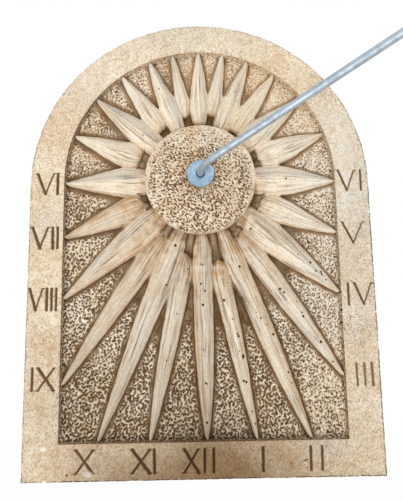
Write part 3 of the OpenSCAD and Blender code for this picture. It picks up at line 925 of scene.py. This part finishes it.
def make_ray(ray):
    s, a, down = ray_grid(ray)
    side = np.sign(a)
    seed = 31.0 * ray.hour
    half, tip_round, meets = outline_half(ray, s, side, seed)
    middle = 0.35 * WAVER(s + 7 * seed, s * 0, 30) * ease(0, 25, ray.tip - s)

    # The two facets, their ridge more or less crisp and their shoulders worn
    soft = mix(WORN_RIDGE, CRISP_RIDGE, ray.crisp)
    slope = (np.sqrt(a * a + soft * soft) - soft) / (sqrt(1 + soft * soft) - soft)
    section = 1 - FACET_FALL * slope - SHOULDER_FALL * np.abs(a) ** 12
    rise = ray.ridge(s) * mix(0.6, 1, tip_round ** 0.7) * section
    lines, streaks = grain_lines(ray, s, a)
    lines = lines * (down == 0) * ease(0.4, 2.0, half)
    rise = rise - (GRAIN_DEPTH * lines + STREAK_DEPTH * streaks) * ease(1.0, 0.9, np.abs(a))
    rise = rise + 0.14 * WAVER(s + seed, a * 5, 9, 2.2) * (half > 1.2)
    rise = rise + 0.05 * GRIT(s, a * half + seed, 1.0)
    holes = ray_pinholes(ray, s, a * half) * (down == 0)
    rise = rise - RAY_PINHOLE * holes

    v = np.where(down > 0, side * (half + 0.35 * down), a * half)
    v = v + middle + side * 0.15 * WAVER(s + seed, down * 6, 3.0) * (down > 0)
    out = FIELD_OUT + mix(rise, -BURIED, down)
    x = s * ray.dx - v * ray.dz
    z = s * ray.dz + v * ray.dx

    # Grey facets, weathered and with painted shade on the facet turned from the light; ochre roots and
    # edges
    streak = PATCHES(a * ray.width + seed, s, 3.5, 40)
    facet = ease(-0.16, 0.16, a + 0.10 * WAVER(s + seed, a * 3, 9, 3))
    grey = mix(ray.grey_cw, ray.grey_ccw, facet) * (0.80 + 0.30 * PATCHES(x, z, 13) + 0.25 * streak)
    at_edge = ease(0.72, 1.0, np.abs(a))
    downward = ease(0.1, -0.8, ray.dz)
    shown = np.clip(s - max(ray.root, DISC_R), 0, None)
    at_root = np.exp(-shown / mix(7.5, 18.0, downward)) * (0.70 + 0.6 * PATCHES(x, z, 5))
    at_root = at_root * mix(0.70 + 0.8 * at_edge, 1.0, downward)
    ochre = ray.ochre * (0.55 + 0.35 * PATCHES(x, z, 12) + 0.30 * streak)
    ochre = ochre * mix(mix(0.8, 1.5, downward), 0.4, clipped(grey * 1.6)) - 0.08
    ochre = ochre + mix(1.0, 1.35, downward) * at_root + mix(0.16, 0.38, downward) * at_edge
    grey = grey * (1 - 0.7 * at_root) * (1 - 0.3 * at_edge)

    # Brown down the walls, at the root and in the grain. Walls that face down and left,
    # towards the light, and their edges get less brown and more ochre: painted light, and
    # painted shade on the walls turned away.
    facing_light = 0.5 - 0.35 * side * (ray.dx - ray.dz)
    on_wall = ease(0.02, 0.45, down)
    ochre = ochre + 0.9 * facing_light * on_wall
    wash_and_shade = 0.10 * at_edge * (0.6 + 0.6 * WAVER(s + seed, a * 6, 6, 3)) * (1 - facing_light)
    wash_and_shade = (wash_and_shade + mix(0.90, 0.34, facing_light) * on_wall) * mix(1, 0.2, meets)
    wash_and_shade = wash_and_shade + 0.40 * at_root * ease(-0.1, 0.6, PATCHES(x, z, 6)) + 0.08 * np.abs(streak)
    wash_and_shade = wash_and_shade + 0.46 * lines + (0.26 * streaks - 0.08) * (down == 0)
    wash_and_shade = wash_and_shade + at_root * downward * (0.16 + 0.62 * ease(-0.2, 0.5, streaks))
    if ray.hour == NICKED_HOUR:
        wash_and_shade = wash_and_shade + 0.6 * bump_at(s, v, NICK_AT, -6.5, 11, 3.2)
    marks = np.maximum(0.45 * lines * (0.45 + 0.55 * grey), holes)
    masks = stone_masks(wash_and_shade, ochre, grey, marks, 0, low_darkening_at(x, z) * 0.75)
    return new_piece(f"ray_{ray.hour:02d}", x, z, out, grid_faces(*s.shape)[:, ::-1], masks)


# ---- the disc


def disc_profile():
    """The disc's section, from its hole over the seat, the dome and the rim to its foot."""
    rim_end = asin((DISC_R - DISC_RIM_R) / (DOME_R - DISC_RIM_R))
    rim_turn = pi / 2 - rim_end
    rim_start_r = DOME_R * sin(rim_end)
    rows = [(HOLE_R, BUSH_OUT), (HOLE_R, SEAT_OUT - 0.4), (HOLE_R + 0.4, SEAT_OUT)]
    rows += [(r, SEAT_OUT) for r in np.linspace(HOLE_R + 1.2, SEAT_R, 10)]
    dome = np.linspace(SEAT_R, rim_start_r, int((rim_start_r - SEAT_R) / DISC_STEP))[1:]
    rows += zip(dome, DOME_OUT + np.sqrt(DOME_R ** 2 - dome ** 2))
    for k in range(1, 9):
        a = rim_turn - rim_turn * k / 8
        rows.append((DISC_R - DISC_RIM_R + DISC_RIM_R * cos(a), RIM_OUT + DISC_RIM_R * sin(a)))
    return rows + [(DISC_R, out) for out in np.linspace(RIM_OUT, FIELD_OUT - BURIED, 14)[1:]]


def disc_pinholes(x, z):
    """1 in the pinholes, which lie on the disc's right and at its foot."""
    rng = np.random.default_rng(DISC_SEED)
    pin = np.zeros_like(x)
    for _ in range(DISC_PINHOLES):
        turn, r = rng.uniform(-1.9, 0.9), 48 * sqrt(rng.uniform(0.12, 0.9))
        size = rng.uniform(*DISC_HOLE_R)
        near = np.hypot(x - r * cos(turn), z - r * sin(turn))
        pin = np.maximum(pin, ease(size * 1.3, size * 0.6, near))
    return pin


def make_disc():
    r, turn, out = turned(disc_profile(), int(2 * pi * DISC_R / (DISC_STEP * 1.15)))
    x, z = r * np.cos(turn), r * np.sin(turn)
    wobble = DISC_WOBBLE * WAVER(50 * np.cos(turn), 50 * np.sin(turn), 16) * ease(38, 48, r)
    x, z = x * (1 + wobble / DISC_R), z * (1 + wobble / DISC_R)

    # Stippled almost to the rim, and worn paler along it, at the top and on the right
    front = ease(RIM_OUT - 0.5, RIM_OUT + 1.0, out)
    band = ease(DISC_R + 1.6, DISC_R - 1.6, r + 1.8 * WAVER.rough(x, z, 7))
    seat = ease(WASHER_HIGH.x + 0.1, WASHER_HIGH.x + 0.9, r)
    worn = 0.22 * ease(5, 40, 0.5 * x + 0.8 * z + 8 * WAVER(x, z, 18)) - 0.10
    worn = worn + 0.14 + 0.22 * PATCHES.rough(x + 40, z, 14)
    worn = worn + 0.42 * ease(DISC_R - 7, DISC_R - 2, r) * ease(-38, -12, z)
    spot = bent(x, z, 0.35)
    level = 0.60 * DISC_WORMS(*spot) + 0.45 * DISC_PITS(*spot)
    crest = stippled(level, x, z, 0.28, 0.35, worn + 0.03)
    stipple = band * seat * front
    out = out + stipple * (DISC_CREST - DISC_STIPPLE * (1 - crest))
    out = out + front * seat * 0.10 * BROAD(x, z, 15)
    pin = disc_pinholes(x, z) * front * seat
    out = out - DISC_PINHOLE * pin
    low = clipped((RIM_OUT - out) / (RIM_OUT - FIELD_OUT)) * (r > DISC_R - 1)

    hub = ease(26, 12, r + 3 * WAVER.rough(x, z, 9))
    pale = 0.16 * ease(-30, 40, z - 0.4 * x) + 0.16 * PATCHES.rough(x, z, 16)
    wash_and_shade = stipple * mix(1.12 - pale, 0.03 + 0.16 * GRIT(x, z, 1.5), crest) + 0.22 * hub * seat
    wash_and_shade = wash_and_shade + (1 - band) * 0.16 * front * (0.7 + 0.8 * PATCHES(x, z, 5))
    # Painted shade: a brown ring round the washer's edge, which runs on under the washer
    wash_and_shade = wash_and_shade + 0.72 * ease(0.10, 0.75, low) + 0.55 * (r < SEAT_R) * (1 - seat)
    ochre = 0.44 + 0.36 * PATCHES.rough(x, z, 14) + 0.12 * hub + 0.2 * (1 - crest)
    grey = 0.50 * (1 - band) * front * (0.7 + 0.5 * PATCHES(x, z, 14))
    # What was left where the washer was sealed
    smear = bump_at(x, z, *WASHER_SMEAR) * ease(0, 0.5, GRIT(x, z, 1.6) + 0.3)
    wash_and_shade, grey = wash_and_shade * (1 - 0.8 * smear), grey + 0.8 * smear
    masks = stone_masks(wash_and_shade, ochre, grey, pin, 0, 0.25 * low_darkening_at(x, z))
    return new_piece("sun_disc", x, z, out, grid_faces(*x.shape, wrap_columns=True)[:, ::-1], masks)


# ---- the back


def make_back():
    """The flat back, with the lock nut's pocket and the recess behind the hanger."""
    bm = bmesh.new()

    def loop(points, out):
        ring = [bm.verts.new(Vector((x * MM, -out * MM, z * MM))) for x, z in points]
        for a, b in zip(ring, ring[1:] + ring[:1]):
            bm.edges.new((a, b))
        return ring

    def wall(a, b):
        for i in range(len(a)):
            k = (i + 1) % len(a)
            bm.faces.new((a[i], a[k], b[k], b[i]))

    def circle(r):
        turns = [2 * pi * i / POCKET_SIDES for i in range(POCKET_SIDES)]
        return [(r * cos(a), r * sin(a)) for a in turns]

    def slot(width, height):
        half, r = (width - height) / 2, height / 2
        turns = [pi * i / SLOT_END_SIDES for i in range(SLOT_END_SIDES + 1)]
        ends = [(end, end * -pi / 2 + turn) for end in (1, -1) for turn in turns]
        return [(end * half + r * cos(a), HANGER_UP + r * sin(a)) for end, a in ends]

    loop([tuple(p) for p in border_outline(BACK_STEP)[0]], 0.0)
    hollows = [
        (loop(circle(POCKET_R + BACK_BEVEL), 0.0), circle(POCKET_R), POCKET_DEPTH),
        (loop(slot(RECESS_W + 2 * BACK_BEVEL, RECESS_H + 2 * BACK_BEVEL), 0.0),
         slot(RECESS_W, RECESS_H), RECESS_DEPTH),
    ]
    bmesh.ops.triangle_fill(bm, use_beauty=True, use_dissolve=False, edges=list(bm.edges))
    for ring, points, depth in hollows:
        edge = loop(points, 0.9)
        wall(ring, edge)
        floor = loop(points, depth)
        wall(edge, floor)
        centre = bm.verts.new(sum((v.co for v in floor), Vector()) / len(floor))
        for a, b in zip(floor, floor[1:] + floor[:1]):
            bm.faces.new((a, b, centre))
    bmesh.ops.recalc_face_normals(bm, faces=bm.faces)
    mesh = bpy.data.meshes.new("plaque_back")
    bm.to_mesh(mesh)
    bm.free()
    if sum(p.normal.y * p.area for p in mesh.polygons if abs(p.normal.y) > 0.9) < 0:
        mesh.flip_normals()
    places = np.empty(len(mesh.vertices) * 3, np.float32)
    mesh.vertices.foreach_get("co", places)
    deep = clipped(-places.reshape(-1, 3)[:, 1] / MM / RECESS_DEPTH)
    write_masks(mesh, stone_masks(0.10 + 0.45 * deep, 0.25, 0.35))
    return in_scene("plaque_back", mesh)


# ---- the metal


def make_washer(name, hole_r, outer_r, low, high, edge):
    """A round washer about the gnomon's tail, with its edges rounded."""
    section = []
    for r, out, start in ((hole_r + edge, low + edge, pi), (hole_r + edge, high - edge, pi / 2),
                          (outer_r - edge, high - edge, 0.0), (outer_r - edge, low + edge, -pi / 2)):
        for i in range(6):
            a = start - pi / 2 * i / 5 + pi / 2
            section.append((r + edge * cos(a), out + edge * sin(a)))
    r, turn, out = turned(section, WASHER_SIDES)
    faces = grid_faces(*r.shape, wrap_rows=True, wrap_columns=True)[:, ::-1]
    return new_piece(name, r * np.cos(turn), r * np.sin(turn), out, faces)


def rod_path():
    """The rod's centre line from its tail to its tip: how far from the tail's line each
    point lies, and how far out."""
    bend_out = WASHER_OUT + ROD_NECK
    tail_steps, bend_steps, arm_steps = ROD_STEPS
    points = [(0.0, out) for out in np.linspace(ROD_TAIL, bend_out, tail_steps)]
    for k in range(1, bend_steps + 1):
        a = ROD_BEND * k / bend_steps
        points.append((ROD_BEND_R * (1 - cos(a)), bend_out + ROD_BEND_R * sin(a)))
    elbow = points[-1]
    for length in np.linspace(0, ROD_LENGTH, arm_steps)[1:]:
        points.append((elbow[0] + length * sin(ROD_BEND), elbow[1] + length * cos(ROD_BEND)))
    return np.array(points)


def make_rod():
    path = rod_path()
    step = np.gradient(path, axis=0)
    step = step / np.hypot(step[:, 0], step[:, 1])[:, None]
    along = np.concatenate([[0], np.cumsum(np.hypot(*np.diff(path, axis=0).T))])
    radius = np.full(len(path), ROD_R - 0.03)
    # Both ends are chamfered and closed
    path, step, along = (np.concatenate([rows[:1], rows[:1], rows, rows[-1:], rows[-1:]])
                         for rows in (path, step, along))
    radius = np.concatenate([[0.01, ROD_R - ROD_CHAMFER], radius, [ROD_R - ROD_CHAMFER, 0.01]])
    path[2] = path[2] + step[2] * ROD_CHAMFER
    path[-3] = path[-3] - step[-3] * ROD_CHAMFER
    s, around = np.meshgrid(along, full_turn(ROD_SIDES), indexing="ij")
    r = radius[:, None] * np.ones_like(s)
    r = r - 0.045 * (0.5 + 0.5 * WAVER(s, around * 3, 11, 4)) * (r > ROD_R - 0.2)
    cross = r * np.cos(around)
    level = r * np.sin(around)
    # Square to the rod in its plane is its direction turned by a quarter
    radial = path[:, 0][:, None] - step[:, 1][:, None] * cross
    out = path[:, 1][:, None] + step[:, 0][:, None] * cross
    x = radial * cos(ROD_SWING) - level * sin(ROD_SWING)
    z = radial * sin(ROD_SWING) + level * cos(ROD_SWING)
    return new_piece("gnomon_bar", x, z, out, grid_faces(*s.shape, wrap_columns=True))


# ---- materials


def srgb(r, g, b):
    """A colour given in 0 to 255 steps of sRGB, as a linear RGBA."""
    def linear(c):
        c /= 255
        return c / 12.92 if c <= 0.04045 else ((c + 0.055) / 1.055) ** 2.4
    return (linear(r), linear(g), linear(b), 1)


class Nodes:
    """Short ways to add, fill and link the nodes of one material or world."""

    def __init__(self, owner):
        owner.use_nodes = True
        self.tree = owner.node_tree
        self.shader = self.tree.nodes.get("Principled BSDF")

    def fill(self, node, inputs):
        """Give a node's inputs a number, a colour or another node's output."""
        for key, value in inputs.items():
            if isinstance(value, bpy.types.NodeSocket):
                self.tree.links.new(value, node.inputs[key])
            else:
                node.inputs[key].default_value = value

    def add(self, kind, inputs, **settings):
        node = self.tree.nodes.new(kind)
        for key, value in settings.items():
            setattr(node, key, value)
        self.fill(node, inputs)
        return node

    def noise(self, scale, detail, roughness, place):
        inputs = {"Scale": scale, "Detail": detail, "Roughness": roughness, "Vector": place}
        return self.add("ShaderNodeTexNoise", inputs).outputs["Fac"]

    def ramp(self, value, low, high, low_value=0.0, high_value=1.0):
        inputs = {"Value": value, "From Min": low, "From Max": high,
                  "To Min": low_value, "To Max": high_value}
        node = self.add("ShaderNodeMapRange", inputs, interpolation_type="SMOOTHSTEP")
        return node.outputs["Result"]

    def math(self, operation, a, b, clamp=False):
        node = self.add("ShaderNodeMath", {0: a, 1: b}, operation=operation, use_clamp=clamp)
        return node.outputs[0]

    def mix(self, a, b, share, blend="MIX"):
        inputs = {0: share, 6: a, 7: b}
        return self.add("ShaderNodeMix", inputs, data_type="RGBA", blend_type=blend).outputs[2]

    def attribute(self, name):
        """The three masks that one colour attribute holds."""
        colour = self.add("ShaderNodeAttribute", {}, attribute_name=name).outputs["Color"]
        return self.add("ShaderNodeSeparateColor", {0: colour}).outputs

    def bump(self, height, strength, distance):
        inputs = {"Height": height, "Strength": strength, "Distance": distance}
        return self.add("ShaderNodeBump", inputs).outputs["Normal"]

    def show(self, shader, white, share, output):
        """Send a shader to the output, or white where the share is 1."""
        inputs = {0: share, 1: shader.outputs[0], 2: white.outputs[0]}
        blend = self.add("ShaderNodeMixShader", inputs)
        self.fill(self.tree.nodes[output], {"Surface": blend.outputs[0]})


TAN = srgb(208, 178, 136)
OCHRE = srgb(200, 148, 80)
COOL_GREY = srgb(204, 201, 192)
DARK_SAND, PALE_SAND = srgb(186, 158, 118), srgb(250, 243, 228)
BROWN_SPECK = srgb(120, 92, 60)
WASH_AND_SHADE_BROWN = srgb(99, 72, 38)
GROOVE_BROWN, HOLE_BROWN = srgb(100, 72, 42), srgb(40, 28, 20)
BARE_STONE = srgb(246, 243, 236)
LOW_DARKENING_BROWN = srgb(160, 142, 120)
WHITE = (1, 1, 1, 1)

# Each material's two shades
SANDY_CREAM = srgb(231, 215, 187), srgb(243, 232, 210)
RAY_CREAM = srgb(244, 232, 208), srgb(251, 244, 228)
ROD_ZINC = srgb(176, 189, 200), srgb(146, 158, 170)
WASHER_ZINC = srgb(163, 187, 206), srgb(134, 158, 178)
DULL_STEEL = srgb(176, 182, 188), srgb(120, 126, 132)
BRASS = srgb(196, 164, 96), srgb(140, 108, 58)

# The stone's noises: scale, detail and roughness. Then bump: strength and distance in m
BROAD_NOISE, MOTTLE_NOISE = (28, 3, 0.5), (160, 3, 0.6)
SAND_NOISE, SPECK_NOISE = (620, 2, 0.6), (950, 2, 0.6)
STONE_BUMP, METAL_BUMP = (0.4, 0.0005), (0.06, 0.0002)


def stone_material(name, dark, light, tan, sandy):
    """Cast stone between two creams, with tan clouds, sand grains, and what the masks tell:
    brown wash with painted shade, ochre and grey weathering with painted light and shade,
    dark grooves, chips and the darkening low on the plaque."""
    material = bpy.data.materials.new(name)
    n = Nodes(material)
    wash_and_shade, ochre, grey = n.attribute("patina")
    line, chip, low_darkening = n.attribute("marks")
    place = n.add("ShaderNodeTexCoord", {}).outputs["Object"]
    broad, mottle = n.noise(*BROAD_NOISE, place), n.noise(*MOTTLE_NOISE, place)
    sand, speck = n.noise(*SAND_NOISE, place), n.noise(*SPECK_NOISE, place)
    colour = n.mix(dark, light, n.ramp(broad, 0.35, 0.68))
    for tint, share in (
        (TAN, n.ramp(mottle, 0.48, 0.76, 0, tan)),
        (OCHRE, n.math("MULTIPLY", ochre, n.ramp(mottle, 0.2, 0.75, 0.45, 0.85))),
        (COOL_GREY, n.math("MULTIPLY", grey, n.ramp(mottle, 0.25, 0.7, 1.0, 0.7))),
        (DARK_SAND, n.ramp(sand, 0.50, 0.66, 0, 0.70 * sandy)),
        (PALE_SAND, n.ramp(sand, 0.46, 0.32, 0, 0.55 * sandy)),
        (BROWN_SPECK, n.ramp(speck, 0.59, 0.68, 0, 0.85 * sandy)),
        (WASH_AND_SHADE_BROWN, n.math("MULTIPLY", wash_and_shade, n.ramp(mottle, 0.25, 0.75, 1.05, 0.90), clamp=True)),
        (GROOVE_BROWN, n.ramp(line, 0.0, 0.68)),
        (HOLE_BROWN, n.ramp(line, 0.70, 1.0)),
        (BARE_STONE, chip),
    ):
        colour = n.mix(colour, tint, share)
    grain = n.math("ADD", n.math("MULTIPLY", speck, 0.5), n.math("MULTIPLY", sand, 0.5))
    n.fill(n.shader, {
        "Base Color": n.mix(colour, n.mix(WHITE, LOW_DARKENING_BROWN, low_darkening), 1.0, "MULTIPLY"),
        "Roughness": n.ramp(mottle, 0.3, 0.7, 0.82, 0.95),
        "Specular IOR Level": 0.25,
        "Normal": n.bump(grain, *STONE_BUMP),
    })
    return material


def metal_material(name, colour, dark, roughness, scale=220, metal=1.0):
    """Galvanised steel, or brass, gone dull in clouds and in fine specks."""
    material = bpy.data.materials.new(name)
    n = Nodes(material)
    place = n.add("ShaderNodeTexCoord", {}).outputs["Object"]
    cloud = n.noise(scale, 3, 0.55, place)
    fine = n.noise(scale * 7, 2, 0.5, place)
    base = n.mix(colour, dark, n.ramp(cloud, 0.42, 0.72, 0, 0.75))
    n.fill(n.shader, {
        "Base Color": n.mix(base, dark, n.ramp(fine, 0.60, 0.80, 0, 0.45)),
        "Metallic": metal,
        "Roughness": n.ramp(cloud, 0.3, 0.7, roughness - 0.06, roughness + 0.08),
        "Normal": n.bump(fine, *METAL_BUMP),
    })
    return material


def paint(piece, material):
    piece.data.materials.clear()
    piece.data.materials.append(material)


# ---- the pieces

sandy_stone = stone_material("cast_stone", *SANDY_CREAM, tan=0.40, sandy=0.8)
smooth_stone = stone_material("cast_stone_rays", *RAY_CREAM, tan=0.22, sandy=0.45)
border = make_border()
sandy_pieces = [border, make_back()]
smooth_pieces = [
    make_disc(),
    make_field("field_low", FIELD_BOTTOM - 0.4, 0),
    make_field("field_high", 0, FIELD_SPRING + FIELD_HALF + 0.4),
] + [make_ray(ray) for ray in RAY_LIST]
for piece in sandy_pieces + smooth_pieces:
    paint(piece, sandy_stone if piece in sandy_pieces else smooth_stone)
    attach(piece, "dial")
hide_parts("dial_plaque")

rod = make_rod()
paint(rod, metal_material("rod_zinc", *ROD_ZINC, roughness=0.5, scale=160, metal=0.6))
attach(rod, "gnomon")
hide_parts("gnomon_rod")

washer = make_washer("washer_plate", WASHER_HOLE_R, WASHER_HIGH.x, SEAT_OUT, WASHER_OUT, WASHER_EDGE_R)
paint(washer, metal_material("washer_zinc", *WASHER_ZINC, roughness=0.6, scale=260))
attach(washer, "dial")
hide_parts("front_washer")

galvanised = metal_material("galvanised", *DULL_STEEL, roughness=0.42)
for name in ("hanger_wire", "back_washer", "lock_nut"):
    paint(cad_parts[name], galvanised)
brass = metal_material("brass", *BRASS, roughness=0.4)
paint(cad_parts["gnomon_bush"], brass)

# ---- stage, light and camera

CAMERA_PLACE = Vector((-5.86, -443.1, -119.62)) * MM
CAMERA_TURN = radians(0.836)  # to the right
CAMERA_TILT = radians(7.939)  # upwards
CAMERA_ROLL = radians(-0.889)
LENS_MM = 34.56
SENSOR_MM = 36
FLOOR_UP = -3.2
FLOOR_HALF = 12
FLOOR_COLOUR = (0.86, 0.86, 0.86, 1)
FLOOR_WHITE_SHARE = 0.97  # what is left keeps the object's shadow
SKY_COLOUR = (1.0, 0.985, 0.96, 1)
SKY_STRENGTH = 0.66
# Each lamp's name, place, size in metres and power in watts
KEY_LAMP = ("key", (-1.6, -3.1, -2.3), 1.5, 81)
FILL_LAMP = ("fill", (0.7, -1.6, 1.2), 1.0, 10)
LAMP_TARGET = Vector((0, 0, -0.05))


def seen_directly(n):
    """1 for what the camera sees, straight or in metal, and 0 for the light itself."""
    path = n.add("ShaderNodeLightPath", {})
    seen = path.outputs["Is Camera Ray"]
    for name in ("Is Glossy Ray", "Is Transmission Ray"):
        seen = n.math("MAXIMUM", seen, path.outputs[name])
    return seen


def make_stage():
    mesh = bpy.data.meshes.new("floor")
    corners = ((-1, -1), (1, -1), (1, 1), (-1, 1))
    mesh.from_pydata([(x * FLOOR_HALF, y * FLOOR_HALF, FLOOR_UP) for x, y in corners], [], [(0, 1, 2, 3)])
    floor = in_scene("floor", mesh)
    material = bpy.data.materials.new("floor_white")
    n = Nodes(material)
    n.fill(n.shader, {"Base Color": FLOOR_COLOUR, "Roughness": 0.9})
    share = n.math("MULTIPLY", seen_directly(n), FLOOR_WHITE_SHARE)
    n.show(n.shader, n.add("ShaderNodeEmission", {}), share, "Material Output")
    mesh.materials.append(material)


def make_world():
    world = bpy.data.worlds.new("studio")
    bpy.context.scene.world = world
    n = Nodes(world)
    sky = n.tree.nodes["Background"]
    n.fill(sky, {"Color": SKY_COLOUR, "Strength": SKY_STRENGTH})
    n.show(sky, n.add("ShaderNodeBackground", {"Color": WHITE}), seen_directly(n), "World Output")


def area_lamp(name, place, size, watts):
    lamp = bpy.data.lights.new(name, "AREA")
    lamp.shape = "SQUARE"
    lamp.size = size
    lamp.energy = watts
    obj = in_scene(name, lamp)
    obj.location = place
    obj.rotation_euler = (LAMP_TARGET - Vector(place)).to_track_quat("-Z", "Y").to_euler()


def make_camera():
    turn, tilt = CAMERA_TURN, CAMERA_TILT
    forward = Vector((sin(turn) * cos(tilt), cos(turn) * cos(tilt), sin(tilt)))
    right = Vector((cos(turn), -sin(turn), 0))
    up = right.cross(forward)
    rolled_right = right * cos(CAMERA_ROLL) + up * sin(CAMERA_ROLL)
    rolled_up = up * cos(CAMERA_ROLL) - right * sin(CAMERA_ROLL)
    camera = bpy.data.cameras.new("camera")
    camera.sensor_width = SENSOR_MM
    camera.lens = LENS_MM
    camera.clip_start = 0.01
    obj = in_scene("camera", camera)
    matrix = Matrix((rolled_right, rolled_up, -forward)).transposed().to_4x4()
    matrix.translation = CAMERA_PLACE
    obj.matrix_world = matrix
    bpy.context.scene.camera = obj


make_stage()
make_world()
area_lamp(*KEY_LAMP)
area_lamp(*FILL_LAMP)
make_camera()
bpy.context.scene.view_settings.view_transform = "Standard"
